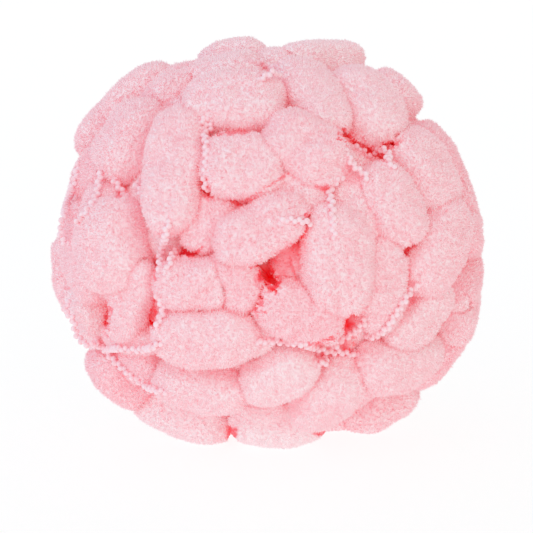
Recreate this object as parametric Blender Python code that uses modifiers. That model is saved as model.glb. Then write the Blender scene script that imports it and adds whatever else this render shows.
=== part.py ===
"""A ball of pom pom yarn: plump velvety pompoms on a thin yarn, wound into one ball with a small flat spot below.

Metres, +Z up. The ball stands on z = 0 over the origin, and its front looks along -Y.
"""

import math
import random

import bmesh
import bpy
from mathutils import Matrix, Vector

MM = 0.001

# The ball's centre, and the half sizes of the shell that the pompoms' middles lie on: across, deep, high.
BALL_CENTRE = Vector((-0.3, 2.4, 79)) * MM
MIDDLES = Vector((76, 68, 70)) * MM
CORE = Vector((69, 61, 63)) * MM

# The pompoms in front were measured from here, on the upright plane through the ball's centre.
VIEW_DISTANCE = 1100 * MM
VIEW_TILT = math.radians(12)
RIGHT = Vector((1, 0, 0))
UP = Vector((0, math.sin(VIEW_TILT), math.cos(VIEW_TILT)))
AHEAD = Vector((0, math.cos(VIEW_TILT), -math.sin(VIEW_TILT)))
VIEWPOINT = BALL_CENTRE - AHEAD * VIEW_DISTANCE

# Each pompom that shows in front, in mm and degrees: where its middle is seen across and up from the ball's
# centre, how far its length turns from level, its length and width, and how far it stands out to the front.
FRONT_POMPOMS = [
    ("top_back_left", -13, 71, 0, 28, 20, -12),
    ("top_back_right", 22, 70, 5, 38, 20, -9),
    ("top_left_behind", -21, 64, 8, 40, 20, -8),
    ("top_centre", -13, 55, -2, 38, 22, 3),
    ("top_right", 20, 58, -61, 37, 22, 3),
    ("shoulder_right", 42, 54, -65, 35, 23, 3),
    ("shoulder_right_behind", 50, 55, -50, 28, 20, -6),
    ("shoulder_left", -50, 58, 37, 34, 21, 0),
    ("shoulder_left_inner", -35, 60, 35, 30, 19, -2),
    ("left_upper_edge", -63, 45, 58, 30, 19, -4),
    ("left_upper", -54, 39, 60, 34, 24, 0),
    ("left_notch", -65, 28, 5, 32, 19, -3),
    ("left_behind_yarn", -64, 9, 80, 30, 20, -3),
    ("right_upper_edge", 64, 36, -52, 28, 20, -5),
    ("right_outer", 72, 23, -68, 36, 20, -6),
    ("right_upper", 62, 28, -60, 36, 21, 3),
    ("right_middle", 52, 15, -62, 34, 22, 4),
    ("right_inner", 34, 13, -78, 32, 18, 0),
    ("centre_right", 28, -8, -87, 42, 25, 4),
    ("centre_right_outer", 47, -16, 86, 36, 18, 1),
    ("right_big", 66, -1, 68, 38, 23, 4),
    ("right_edge_middle", 77, 3, 0, 36, 19, -4),
    ("right_edge_low", 76, -15, 10, 36, 20, -9),
    ("lower_right_slant", 59, -30, 47, 34, 19, 2),
    ("lower_right_slim", 71, -31, 80, 32, 17, -3),
    ("lower_right_front", 51, -48, -10, 37, 22, 4),
    ("right_edge_lower", 74, -28, -8, 36, 20, -10),
    ("right_edge_lowest", 67, -43, 60, 30, 18, -6),
    ("bottom_right_behind", 46, -62, 12, 32, 18, -24),
    ("bottom_right", 34, -68, 2, 34, 18, -28),
    ("bottom_right_inner", 25, -60, 65, 33, 20, 2),
    ("bottom_centre", 6, -55, 30, 35, 21, 4),
    ("bottom_left_inner", -26, -58, -10, 36, 19, 2),
    ("lower_left_front", -24, -38, 0, 39, 21, 5),
    ("base_front", 3, -71, 3, 35, 19, -7),
    ("base_left", -33, -69, -17, 40, 20, -9),
    ("lower_left_edge", -59, -54, -55, 32, 20, -1),
    ("lower_left_deep", -50, -48, 35, 28, 17, -3),
    ("left_low_edge", -68, -31, -78, 28, 19, -3),
    ("left_low", -56, -24, 70, 35, 19, 2),
    ("left_low_strip", -54, -38, 0, 28, 13, -1),
    ("left_big", -61, -2, -80, 36, 27, 3),
    ("left_outer", -75, -14, -80, 34, 20, -7),
    ("left_tall", -36, 28, 82, 47, 22, 4),
    ("upper_middle", -10, 29, -5, 33, 26, 3),
    ("upper_right_middle", 16, 36, -22, 38, 25, 4),
    ("over_the_pit", -2, 4, 27, 38, 21, 6),
    ("middle_deep_right", 12, 17, -15, 30, 18, -2),
    ("middle_deep_left", -22, 9, 60, 28, 17, -2),
    ("middle_left", -31, -17, 0, 31, 22, 3),
    ("left_of_the_pit", -11, -17, -60, 27, 18, 2),
    ("middle_low", 13, -29, -22, 35, 22, 4),
    ("right_of_the_pit", 11, -12, -75, 28, 17, -6),
    ("small_between", -3, -37, 0, 16, 14, -3),
]

# Near the rim a pompom slopes away from the viewpoint by up to this much, and is longer than it is seen.
RIM_FACING = -0.5
STEEPEST = 0.8
LONGEST_STRETCH = 1.15

# The rest of the ball is filled with pompoms of this spread of sizes, pushed and turned apart from each other.
# How far a spot faces away from the viewpoint tells the front (-1) from the rim (0) and the back (1).
FRONT_ENDS_AT = -0.62
RIM_ENDS_AT = 0.25
SUNK_AT_RIM = 5 * MM
ROOM_NEEDED = 19.5 * MM
GAP_ROOM = 14 * MM
GAP_DEPTH = 8 * MM
SPIRAL_SPOTS = 1500
CROWDED_AT = (-0.3, 0, 0.3)
EASE_REACH = 27 * MM
EASE_STEPS = 60
EASE_MOVE = 1.2 * MM
EASE_TURN = 0.12
LENGTHS = (35 * MM, 41 * MM)
WIDTHS = (20.5 * MM, 24 * MM)
LIFT = 1.6 * MM

# A pompom is a fuller shape than an ellipsoid, and those near the floor settle onto it.
FULLNESS = 2.5
SETTLE_REACH = 5 * MM
PRESSED_FLAT = 1.2 * MM

# The deep narrow gap in the middle of the front: where it is seen, and its half width, half height and depth.
PIT_SEEN = (1, -14)
PIT_SIZE = (5.5 * MM, 7 * MM, 30 * MM)

# The grid that fuses the pompoms, and the triangles that the fused ball is thinned to.
VOXEL = 2.1 * MM
FACE_BUDGET = 10400
PINK = (0.93, 0.55, 0.6, 1)


def clear_scene():
    for thing in list(bpy.data.objects):
        bpy.data.objects.remove(thing)


def collection(name):
    made = bpy.data.collections.new(name)
    bpy.context.scene.collection.children.link(made)
    return made


def shell_normal(spot):
    """The way out of the ball at a spot on the shell of middles."""
    from_centre = spot - BALL_CENTRE
    return Vector([from_centre[i] / MIDDLES[i] ** 2 for i in range(3)]).normalized()


def onto_shell(spot):
    """The spot pulled straight in or out to the shell of middles."""
    from_centre = spot - BALL_CENTRE
    share = Vector([from_centre[i] / MIDDLES[i] for i in range(3)]).length
    return BALL_CENTRE + from_centre / share


def seen_spot(across, up, nearer):
    """Where the line of sight meets the shell, or passes it closest, moved towards the viewpoint by nearer."""
    sight = (BALL_CENTRE + RIGHT * across + UP * up - VIEWPOINT).normalized()
    start = Vector([(VIEWPOINT - BALL_CENTRE)[i] / MIDDLES[i] for i in range(3)])
    step = Vector([sight[i] / MIDDLES[i] for i in range(3)])
    middle = -start.dot(step) / step.dot(step)
    inside = middle**2 - (start.dot(start) - 1) / step.dot(step)
    reach = middle - math.sqrt(max(inside, 0))
    return VIEWPOINT + sight * (reach - nearer)


def frame(spot, along):
    """A turned frame at a spot: X along the pompom, Z out of the ball."""
    normal = shell_normal(spot)
    along = (along - normal * along.dot(normal)).normalized()
    side = normal.cross(along)
    axes = Matrix((along, side, normal)).transposed()
    return Matrix.Translation(spot) @ axes.to_4x4()


def front_pompom(across, up, turn, length, width, nearer):
    """Place and size of a pompom that shows in front, its length turned as it is seen from the viewpoint."""
    spot = seen_spot(across * MM, up * MM, nearer * MM)
    angle = math.radians(turn)
    seen = RIGHT * math.cos(angle) + UP * math.sin(angle)
    normal = shell_normal(spot)
    slope = -seen.dot(normal) / min(AHEAD.dot(normal), RIM_FACING)
    slope = max(-STEEPEST, min(STEEPEST, slope))
    length *= min(math.hypot(1, slope), LONGEST_STRETCH)
    return frame(spot, seen + AHEAD * slope), (length * MM, width * MM, width * MM)


def spiral_spots(count):
    """Spots in even steps over the whole shell, on one spiral from top to bottom."""
    golden_turn = math.pi * (3 - math.sqrt(5))
    spots = []
    for i in range(count):
        height = 1 - 2 * (i + 0.5) / count
        ring = math.sqrt(1 - height**2)
        way = Vector((ring * math.cos(golden_turn * i), ring * math.sin(golden_turn * i), height))
        spots.append(BALL_CENTRE + Vector([way[k] * MIDDLES[k] for k in range(3)]))
    return spots


def turned_away(spot):
    """How far a spot on the shell faces away from the viewpoint."""
    return shell_normal(spot).dot(AHEAD)


def roomiest_spots(taken, room_needed):
    """Picks spots one by one behind the front, each the furthest from all that are taken."""
    free = [spot for spot in spiral_spots(SPIRAL_SPOTS) if turned_away(spot) > FRONT_ENDS_AT]
    room = [min((spot - other).length for other in taken) for spot in free]
    picked = []
    while max(room) > room_needed:
        best = room.index(max(room))
        picked.append(free[best])
        room = [min(gap, (spot - free[best]).length) for gap, spot in zip(room, free)]
    return picked


def along_roll(spot, along, length):
    """Points along a pompom that its neighbours keep away from."""
    return [spot + along * share * length for share in CROWDED_AT]


def push_on(point, others):
    """How crowding by the others moves one point of a pompom."""
    push = Vector()
    for other in others:
        apart = point - other
        if 0 < apart.length < EASE_REACH:
            push += apart.normalized() * (1 - apart.length / EASE_REACH) ** 2
    return push


def loose_roll(spot, dice):
    """A pompom's spot, its direction taken by chance, and its length."""
    normal = shell_normal(spot)
    turn = Matrix.Rotation(dice.uniform(0, math.pi), 3, normal)
    return spot, turn @ normal.orthogonal().normalized(), dice.uniform(*LENGTHS)


def ease_apart(rolls, taken):
    """Pushes and turns pompoms until they lie evenly beside each other and the ones in front."""
    for _ in range(EASE_STEPS):
        points = [along_roll(*roll) for roll in rolls]
        eased = []
        for i, (spot, along, length) in enumerate(rolls):
            others = taken + [point for k, row in enumerate(points) if k != i for point in row]
            tail, middle, tip = (push_on(point, others) for point in points[i])
            spot = onto_shell(spot + (tail + middle + tip) * EASE_MOVE)
            normal = shell_normal(spot)
            along = along + (tip - tail) * EASE_TURN
            along = (along - normal * along.dot(normal)).normalized()
            eased.append((spot, along, length))
        rolls = eased
    return rolls


def lifted_pompom(roll, lift, dice):
    """Place and size of a roll on the shell, moved out of the ball by lift."""
    spot, along, length = roll
    width = dice.uniform(*WIDTHS)
    return frame(spot + shell_normal(spot) * lift, along), (length, width, width)


def fill_pompoms(front):
    """Pompoms over the sides, back, top and underside, and deeper ones in the gaps that stay between them."""
    dice = random.Random(7)
    taken = []
    for place, size in front:
        taken += along_roll(place.translation, place.to_3x3().col[0], size[0])
    rolls = [loose_roll(spot, dice) for spot in roomiest_spots(taken, ROOM_NEEDED)]
    made = []
    for roll in ease_apart(rolls, taken):
        taken += along_roll(*roll)
        lift = dice.uniform(-LIFT, LIFT)
        if turned_away(roll[0]) < RIM_ENDS_AT:
            lift -= SUNK_AT_RIM
        made.append(lifted_pompom(roll, lift, dice))
    for spot in roomiest_spots(taken, GAP_ROOM):
        made.append(lifted_pompom(loose_roll(spot, dice), -GAP_DEPTH, dice))
    return made


def settle(place, size):
    """A pompom close to the floor drops or rises until it is pressed a little flat against it."""
    axes = place.to_3x3()
    drop = math.sqrt(sum((axes[2][i] * size[i] / 2) ** 2 for i in range(3)))
    lowest = place.translation.z - drop
    if lowest > SETTLE_REACH:
        return place
    return Matrix.Translation(Vector((0, 0, -lowest - PRESSED_FLAT))) @ place


def add_pompom(mesh, place, size):
    """A fat roll with domed ends, round in section."""
    ball = bmesh.ops.create_icosphere(mesh, subdivisions=3, radius=1)["verts"]
    for vert in ball:
        along = abs(vert.co.x)
        round_it = math.hypot(vert.co.y, vert.co.z)
        vert.co /= (along**FULLNESS + round_it**FULLNESS) ** (1 / FULLNESS)
        vert.co = place @ Vector([vert.co[i] * size[i] / 2 for i in range(3)])


def add_core(mesh):
    """The wound inside of the ball, which shows only between the pompoms."""
    stretch = Matrix.Translation(BALL_CENTRE) @ Matrix.Diagonal(CORE).to_4x4()
    bmesh.ops.create_icosphere(mesh, subdivisions=4, radius=1, matrix=stretch)


def pink_pile():
    pile = bpy.data.materials.new("pink_pile")
    pile.use_nodes = True
    shader = pile.node_tree.nodes["Principled BSDF"]
    shader.inputs["Base Color"].default_value = PINK
    shader.inputs["Roughness"].default_value = 0.95
    shader.inputs["Metallic"].default_value = 0
    return pile


def guide(name, folder):
    """Makes the active object a hidden cutter."""
    cutter = bpy.context.object
    cutter.name = name
    cutter.hide_render = True
    cutter.display_type = "WIRE"
    for home in list(cutter.users_collection):
        home.objects.unlink(cutter)
    folder.objects.link(cutter)
    return cutter


def floor_cutter(folder):
    """A block whose top is the floor, which gives the ball its flat spot."""
    block = 300 * MM
    bpy.ops.mesh.primitive_cube_add(size=block, location=(0, 0, -block / 2))
    return guide("floor_cutter", folder)


def pit_cutter(folder):
    """The deep narrow gap between the pompoms in the middle of the front."""
    spot = seen_spot(PIT_SEEN[0] * MM, PIT_SEEN[1] * MM, 0)
    place = frame(spot, RIGHT) @ Matrix.Diagonal(Vector(PIT_SIZE)).to_4x4()
    bpy.ops.mesh.primitive_ico_sphere_add(subdivisions=3, radius=1)
    bpy.context.object.data.transform(place)
    return guide("pit_cutter", folder)


def cut(target, cutter):
    boolean = target.modifiers.new(cutter.name, "BOOLEAN")
    boolean.operation = "DIFFERENCE"
    boolean.solver = "EXACT"
    boolean.object = cutter


def modified_mesh(thing):
    """The object's mesh with its modifiers in it."""
    bpy.context.view_layer.update()
    shown = thing.evaluated_get(bpy.context.evaluated_depsgraph_get())
    return bpy.data.meshes.new_from_object(shown)


def keep_outer_body(mesh):
    """Removes the small closed gaps left between the pompoms, which nothing outside can reach."""
    work = bmesh.new()
    work.from_mesh(mesh)
    left = set(work.verts)
    bodies = []
    while left:
        body = set()
        edge_of_body = [left.pop()]
        while edge_of_body:
            vert = edge_of_body.pop()
            body.add(vert)
            for edge in vert.link_edges:
                other = edge.other_vert(vert)
                if other in left:
                    left.discard(other)
                    edge_of_body.append(other)
        bodies.append(body)
    outer = max(bodies, key=len)
    spare = [vert for vert in work.verts if vert not in outer]
    bmesh.ops.delete(work, geom=spare, context="VERTS")
    work.to_mesh(mesh)
    work.free()


def yarn_ball(parts, guides):
    """The whole ball as one body: core and pompoms fused, softened where they meet, then cut flat below."""
    front = [front_pompom(*row[1:]) for row in FRONT_POMPOMS]
    work = bmesh.new()
    add_core(work)
    for place, size in front + fill_pompoms(front):
        add_pompom(work, settle(place, size), size)
    mesh = bpy.data.meshes.new("yarn_ball")
    work.to_mesh(mesh)
    work.free()
    ball = bpy.data.objects.new("yarn_ball", mesh)
    parts.objects.link(ball)
    fuse = ball.modifiers.new("fuse", "REMESH")
    fuse.mode = "VOXEL"
    fuse.voxel_size = VOXEL
    ball.data = modified_mesh(ball)
    ball.modifiers.clear()
    keep_outer_body(ball.data)
    triangles = sum(len(face.vertices) - 2 for face in ball.data.polygons)
    thin = ball.modifiers.new("thin", "DECIMATE")
    thin.ratio = min(1, FACE_BUDGET / triangles)
    cut(ball, pit_cutter(guides))
    cut(ball, floor_cutter(guides))
    ball.data.materials.append(pink_pile())
    return ball


def main():
    clear_scene()
    parts = collection("pom_pom_yarn")
    guides = collection("guides")
    yarn_ball(parts, guides)


main()
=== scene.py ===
"""The looks of a ball of pom pom yarn: plump velvety pompoms and a thin beaded twist, on a pale floor.

Metres, +Z up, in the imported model's own frame. The pompoms lie within a few mm of the solid ball's.
"""

import math
import random

import bmesh
import bpy
import numpy as np
from mathutils import Matrix, Vector
from mathutils.bvhtree import BVHTree


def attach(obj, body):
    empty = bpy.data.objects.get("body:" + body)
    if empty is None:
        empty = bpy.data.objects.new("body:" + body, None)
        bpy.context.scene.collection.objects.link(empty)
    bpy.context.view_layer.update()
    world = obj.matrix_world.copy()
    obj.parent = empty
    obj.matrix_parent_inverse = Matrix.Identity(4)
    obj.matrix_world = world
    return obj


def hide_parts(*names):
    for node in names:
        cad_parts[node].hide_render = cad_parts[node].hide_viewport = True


MM = 0.001

# The ball's centre, and half sizes (across, deep, high) of the shell of the pompoms' middles and of the core.
BALL_CENTRE = Vector((-0.3, 2.4, 79)) * MM
MIDDLES = Vector((76, 68, 70)) * MM
CORE = Vector((69, 61, 63)) * MM

# The pompoms in front were measured from here, on the plane through the ball's centre that faces this spot.
VIEW_DISTANCE = 1100 * MM
VIEW_TILT = math.radians(12)
RIGHT = Vector((1, 0, 0))
UP = Vector((0, math.sin(VIEW_TILT), math.cos(VIEW_TILT)))
AHEAD = Vector((0, math.cos(VIEW_TILT), -math.sin(VIEW_TILT)))
VIEWPOINT = BALL_CENTRE - AHEAD * VIEW_DISTANCE

# The camera stands at that viewpoint. Its frame is this wide at the ball's centre, and aimed beside it.
FRAME_WIDTH = 213.2 * MM
AIM_ACROSS = -0.2 * MM
AIM_UP = -10.2 * MM
SENSOR = 36
NEAREST_SEEN = 10 * MM

# Each pompom that shows in front, as the solid has it, in mm and degrees: where its middle is seen across and
# up from the ball's centre, how far its length turns from level, its length and width, and how far it stands
# out to the front. Then what is added to these where the velvet lies off the solid, and how much paler it is
# painted: above 0 painted light on those in shade or at the top, below 0 painted shade.
FRONT_POMPOMS = [
    ("top_back_left", (-13, 71, 0, 28, 20, -12), (-0.8, 0.5, 0, -1, -1, 3), 0.25),
    ("top_back_right", (22, 70, 5, 38, 20, -9), (-2, 1, 16, 0.7, -1, 0.6), 0.3),
    ("top_left_behind", (-21, 64, 8, 40, 20, -8), (0, 0, 0, 0, 0, 2), 0.2),
    ("top_centre", (-13, 55, -2, 38, 22, 3), (0, -2, 0, 0, 4, 0), 0.08),
    ("top_right", (20, 58, -61, 37, 22, 3), (-1.8, -1.2, 0, 0, -2, 0), 0.12),
    ("shoulder_right", (42, 54, -65, 35, 23, 3), (-2.8, -1, 0, 0, 0.5, 0), 0.16),
    ("shoulder_right_behind", (50, 55, -50, 28, 20, -6), (-0.8, 1.9, 3.2, -6, 0.8, -0.4), 0.1),
    ("shoulder_left", (-50, 58, 37, 34, 21, 0), (-1, -0.8, 0, 0, 0, 0), 0.08),
    ("shoulder_left_inner", (-35, 60, 35, 30, 19, -2), (), 0),
    ("left_upper_edge", (-63, 45, 58, 30, 19, -4), (0.2, 1.2, 2.7, -1.5, 0.2, 0), 0),
    ("left_upper", (-54, 39, 60, 34, 24, 0), (), 0),
    ("left_notch", (-65, 28, 5, 32, 19, -3), (), -0.15),
    ("left_behind_yarn", (-64, 9, 80, 30, 20, -3), (), 0),
    ("right_upper_edge", (64, 36, -52, 28, 20, -5), (1.8, -1.8, -4, -1.5, 0.3, 1.5), -0.25),
    ("right_outer", (72, 23, -68, 36, 20, -6), (0, -0.9, -6, 3.5, -0.5, 1.2), -0.1),
    ("right_upper", (62, 28, -60, 36, 21, 3), (-1.5, -1, 0, 1, 3, 0), 0.06),
    ("right_middle", (52, 15, -62, 34, 22, 4), (-3.2, -0.5, 0, 0, -0.5, 0), 0),
    ("right_inner", (34, 13, -78, 32, 18, 0), (), 0.12),
    ("centre_right", (28, -8, -87, 42, 25, 4), (-0.8, 0, 0, 0, -1, 0), 0),
    ("centre_right_outer", (47, -16, 86, 36, 18, 1), (-2.2, 0, 0, 1, 1, 0), 0),
    ("right_big", (66, -1, 68, 38, 23, 4), (0.6, 0, 0, 0, 1.2, 0), 0),
    ("right_edge_middle", (77, 3, 0, 36, 19, -4), (), -0.1),
    ("right_edge_low", (76, -15, 10, 36, 20, -9), (), -0.15),
    ("lower_right_slant", (59, -30, 47, 34, 19, 2), (), 0.12),
    ("lower_right_slim", (71, -31, 80, 32, 17, -3), (), 0.12),
    ("lower_right_front", (51, -48, -10, 37, 22, 4), (0.4, 0.6, 0, 3, 1.5, 0), 0.06),
    ("right_edge_lower", (74, -28, -8, 36, 20, -10), (0.7, -0.5, 0, 0, 0, 0), 0),
    ("right_edge_lowest", (67, -43, 60, 30, 18, -6), (-0.5, -1.5, 0, 2.5, 1, 0), -0.6),
    ("bottom_right_behind", (46, -62, 12, 32, 18, -24), (-0.2, -0.1, 7, 0.7, 1.5, 0.3), -0.14),
    ("bottom_right", (34, -68, 2, 34, 18, -28), (0.3, 0.8, 0, -1, -0.3, -2), 0),
    ("bottom_right_inner", (25, -60, 65, 33, 20, 2), (-0.8, -0.4, 0, 0, 2, 2), 0.1),
    ("bottom_centre", (6, -55, 30, 35, 21, 4), (-1, 2.1, 0, -6.5, -1.2, -1), 0.22),
    ("bottom_left_inner", (-26, -58, -10, 36, 19, 2), (0, 0.3, 0, 0, 0.6, 2), 0.1),
    ("lower_left_front", (-24, -38, 0, 39, 21, 5), (0, 0.8, 0, 0, 1.2, -1), 0),
    ("base_front", (3, -71, 3, 35, 19, -7), (1, 1.5, 0, 2, 3.5, 2.5), 0.55),
    ("base_left", (-33, -69, -17, 40, 20, -9), (-1.4, -0.5, 0, 1, 1.5, 0), 0.3),
    ("lower_left_edge", (-59, -54, -55, 32, 20, -1), (0.7, -0.4, -9, -2.8, -0.4, -1.5), -0.22),
    ("lower_left_deep", (-50, -48, 35, 28, 17, -3), (0, 0, 0, 0, 0, -1.5), -0.42),
    ("left_low_edge", (-68, -31, -78, 28, 19, -3), (0, 0, 0, 0, 0, 1.5), 0.4),
    ("left_low", (-56, -24, 70, 35, 19, 2), (1.9, 0, 0, 0, -3.2, 0), 0),
    ("left_low_strip", (-54, -38, 0, 28, 13, -1), (), 0),
    ("left_big", (-61, -2, -80, 36, 27, 3), (), 0),
    ("left_outer", (-75, -14, -80, 34, 20, -7), (-0.6, 0, 0, 0, 0, 0), 0),
    ("left_tall", (-36, 28, 82, 47, 22, 4), (-0.3, 0, 3, 0, -0.5, 0), 0),
    ("upper_middle", (-10, 29, -5, 33, 26, 3), (0.4, -0.4, 0, 0, -2, 0), 0),
    ("upper_right_middle", (16, 36, -22, 38, 25, 4), (-1.2, -1, -6, -2.5, -1, -0.5), -0.08),
    ("over_the_pit", (-2, 4, 27, 38, 21, 6), (0, 0.8, 0, 0, -1.5, -1), -0.12),
    ("middle_deep_right", (12, 17, -15, 30, 18, -2), (0, 0, 0, 0, 0, 2), 0.08),
    ("middle_deep_left", (-22, 9, 60, 28, 17, -2), (), -0.08),
    ("middle_left", (-31, -17, 0, 31, 22, 3), (1.8, 0, 0, -1.5, -3.5, 0), -0.1),
    ("left_of_the_pit", (-11, -17, -60, 27, 18, 2), (-1, 1.4, 0, -2, 0, -0.8), -0.4),
    ("middle_low", (13, -29, -22, 35, 22, 4), (0, 1, 0, 0, -1.5, -1), -0.25),
    ("right_of_the_pit", (11, -12, -75, 28, 17, -6), (), 0),
    ("small_between", (-3, -37, 0, 16, 14, -3), (0, 0, 0, 0, 0, 2), 0.8),
]

# One more fills the notch between two at the top, and one of those two leans out by so many degrees.
TOP_BETWEEN = (6, 68.5, 0, 24, 18, -11)
# It is painted paler by so much, as painted light.
TOP_BETWEEN_PAINTED_LIGHT = 0.25
LEANING = {"top_back_right": 22}

# This one of the pompoms that fill the rest lies deeper, under the two at the base.
SUNK_FILL = 29
SUNK_BY = 7 * MM

# Near the rim a pompom slopes away from the viewpoint by up to this much, and is longer than it is seen. What
# goes in or out along the line of sight goes further there, until a place faces the viewpoint by this much.
RIM_FACING = -0.5
STEEPEST = 0.8
LONGEST_STRETCH = 1.15
STEEPEST_FACING = 0.5

# The rest of the ball is filled with pompoms of this spread of sizes, pushed and turned apart from each
# other. How far a spot faces away from the viewpoint tells the front (-1) from the rim (0) and the back (1).
FILL_SEED = 7
FRONT_ENDS_AT = -0.62
ALL_ROUND = -math.inf
RIM_ENDS_AT = 0.25
SUNK_AT_RIM = 5 * MM
ROOM_NEEDED = 19.5 * MM
GAP_ROOM = 14 * MM
GAP_DEPTH = 8 * MM
SPIRAL_SPOTS = 1500
CROWDED_AT = (-0.3, 0, 0.3)
EASE_REACH = 27 * MM
EASE_STEPS = 60
EASE_MOVE = 1.2 * MM
EASE_TURN = 0.12
LENGTHS = (35 * MM, 41 * MM)
WIDTHS = (20.5 * MM, 24 * MM)
LIFT = 1.6 * MM

# A pompom is a fuller shape than an ellipsoid, by these powers along it and across it, where 2 would be an
# ellipsoid. Those near the floor settle onto it.
FULLNESS = 2.7
ROUNDNESS = 2.9
SETTLE_REACH = 5 * MM
PRESSED_FLAT = 1.2 * MM

# Open gaps in front, pressed into the pompoms, where the pile is painted red as painted shade, in mm and
# degrees:
# where the middle of each is seen across and up, how far its length turns from level, its length and width,
# how far it goes in, and how pale the painted shade leaves the pile in it. The first is the deep one near the
# middle of the front.
GAPS = [
    # Near the middle.
    (0.9, -14.8, -60, 10, 5.2, 15, 0),
    (-2.6, -23.6, 72, 9.5, 2.2, 5, 0.24),
    (16.2, 8.6, 90, 5.5, 3, 8, 0.15),
    (-24.2, 21.2, 100, 7.5, 3.4, 7, 0.2),
    (-11.2, 15.6, -12, 8.5, 2.4, 5, 0.34),
    # Upper right.
    (31, 41, -50, 6.5, 4.8, 8, 0.12),
    (35, 39.2, -38, 5.5, 2.6, 8, 0.15),
    (40.6, 36.2, -40, 7, 3.4, 8, 0.16),
    (46.8, 35.2, 90, 7.5, 3.6, 8, 0.17),
    (51.2, 38.8, 45, 6.5, 2.6, 8, 0.18),
    # Left, low.
    (-45.6, -31.2, 100, 6.5, 2.8, 8, 0.14),
    (-63.4, -30.4, 80, 11, 2.8, 7, 0.2),
    # Right, low.
    (32.8, -32.4, 70, 7.5, 3.6, 9, 0.07),
    (32, -41.2, 60, 6, 4.2, 8, 0.1),
    (24.4, -39.2, 25, 9, 2.4, 8, 0.13),
    (21.6, -45.6, 20, 5, 2.6, 8, 0.34),
    # Right.
    (55.8, -3.6, 56, 9, 2.4, 5, 0.26),
]
GAP_NEAR = 30 * MM

# How far the pile's colour goes on to the palest pink away from the gaps: on the whole, by how much more in
# the layer below, as painted light where it lies in shade, and times this at its roots and at its tips, where
# the paler roots are painted light against the shade among the blades.
MEAN_TINT = 0.21
UNDER_PAINTED_LIGHT = 0.42
ROOT_TINT_AND_LIGHT = 1.7
TIP_TINT_AND_LIGHT = 0.6

# Narrow creases and shaded walls, where only the pile is parted and painted redder as painted shade.
# The columns are as for the gaps.
CREASES = [
    # Round the deep gap.
    (7.2, -6.8, 55, 18, 9, 6, 0.26),
    (-3, -14.6, 60, 6, 3.4, 5, 0.26),
    (-4, -28.2, -5, 6, 1, 10, 0.2),
    (10, -9.8, -72, 8, 0.9, 10, 0.16),
    (-1, -9.2, 18, 8, 1.2, 10, 0.16),
    (13.2, 1, 51, 12.5, 1.4, 10, 0.14),
    # Upper middle.
    (-13.2, 43, 6, 12, 1.5, 12, 0.2),
    (-2, 20.4, 32, 21, 1, 12, 0.2),
    (23.6, 21.2, 10, 3.6, 1.9, 12, 0.16),
    # Upper right, round the gaps there.
    (33.2, 26, -60, 8, 6, 8, 0.34),
    (21.6, 21, 0, 5, 3, 12, 0.3),
    (38, 36.6, -30, 11, 5, 8, 0.34),
    # Left.
    (-32.4, -5.4, -10, 6.5, 1.7, 12, 0.12),
    (-27, -3.6, 35, 5.5, 1.5, 12, 0.12),
    (-44.6, -27.2, 95, 7, 1.7, 12, 0.14),
    (-44.6, -11, 91, 9, 1, 12, 0.2),
    (-58.4, 19.2, 50, 5, 1.8, 12, 0.18),
    # Right, low.
    (18.8, -40.8, 0, 8, 1, 12, 0.2),
    (56.4, -15.6, 88, 6, 0.9, 10, 0.2),
    (58.2, -23.4, 75, 4.5, 1.6, 8, 0.3),
    # Where the base meets the floor.
    (-14, -77, 90, 5, 3.4, 12, 0.1),
    (26.5, -76.8, 0, 13, 2.2, 12, 0.1),
]

# Gaps and creases start this much nearer than the shell. Their edges are ragged, by bumps this far apart and
# high, and their painted shade fades out over a share of their half size. The pile in them keeps a share of
# its length, and where no sky is seen its painted shade leaves it this pale. One more pompom closes the deep
# gap far down.
GAP_NEARER = 4 * MM
RAGGED = ((3 * MM, 0.3), (1.3 * MM, 0.22))
RAGGED_MARGIN = 0.1
RAGGED_SEED = 13
CREASE_SOFT = 0.6
PARTED_PILE = 0.45
LEAST_PALE = 0.35
PIT_FLOOR_DEPTH = 13 * MM
PIT_FLOOR = (24 * MM, 18 * MM, 16 * MM)

# Chance bumps are waves of this spread of lengths.
WAVES = 8
WAVE_SPREAD = (0.6, 1.3)
WAVE_HEIGHT = 0.7

# The body of each pompom, below its pile: how fine its faces are, how lumpy it is, and the slit that is left
# between two bodies pressed together, as a share of a half width. It closes in places and opens in others.
BODY_GRID = 11
FINE_GRID = 16
UNDER_GRID = 7
BODY_INSET = 1.2 * MM
SWELLING = (1.07, 1.22, 1)
LUMPS = ((14 * MM, 0.6 * MM), (5 * MM, 0.3 * MM))
SLIT = -0.012
SLIT_CHANGE = (13 * MM, 0.03)
SLIT_SEED = 9
PRESS_STEPS = 10
NEIGHBOUR_REACH = 1.15

# A second layer of pompoms lies under the gaps of the first.
UNDER_SEED = 21
UNDER_ROOM = 10 * MM
UNDER_DEPTH = 9 * MM
UNDER_LENGTHS = (24 * MM, 30 * MM)
UNDER_WIDTHS = (17 * MM, 20 * MM)

# The pile is fine blades, so many on each square mm. Each leans by chance, and with its neighbours in tufts.
PILE_SEED = 100
BLADES_IN_FRONT = 5
BLADES_BEHIND = 3.1
BEHIND_FROM = 0.15
BLADE_LENGTH = (0.9 * MM, 1.5 * MM)
BLADE_WIDTH = (0.5 * MM, 0.8 * MM)
BLADE_SUNK = 0.2 * MM
BLADE_LEAN = (0.2, 0.9)
CLUMP_LEAN = 0.14
CLUMP_SIZE = 2 * MM
LENGTH_CHANGE = (1.6 * MM, 0.24)
SEEN_LIMIT = 0.08
PRESSED_LIMIT = 0.84
FLOOR_GAP = 0.2 * MM

# How open a place is to the sky is told by steps in several directions, drawn towards the way out.
# Where little sky is seen, the pile is painted redder: painted shade.
SKY_SEED = 5
SKY_DIRECTIONS = 12
DRAWN_OUT = 1.1
LOWEST_SKY = -0.1
SKY_STEPS = (2.5 * MM, 5 * MM, 8 * MM, 12 * MM, 17 * MM, 23 * MM)

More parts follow.
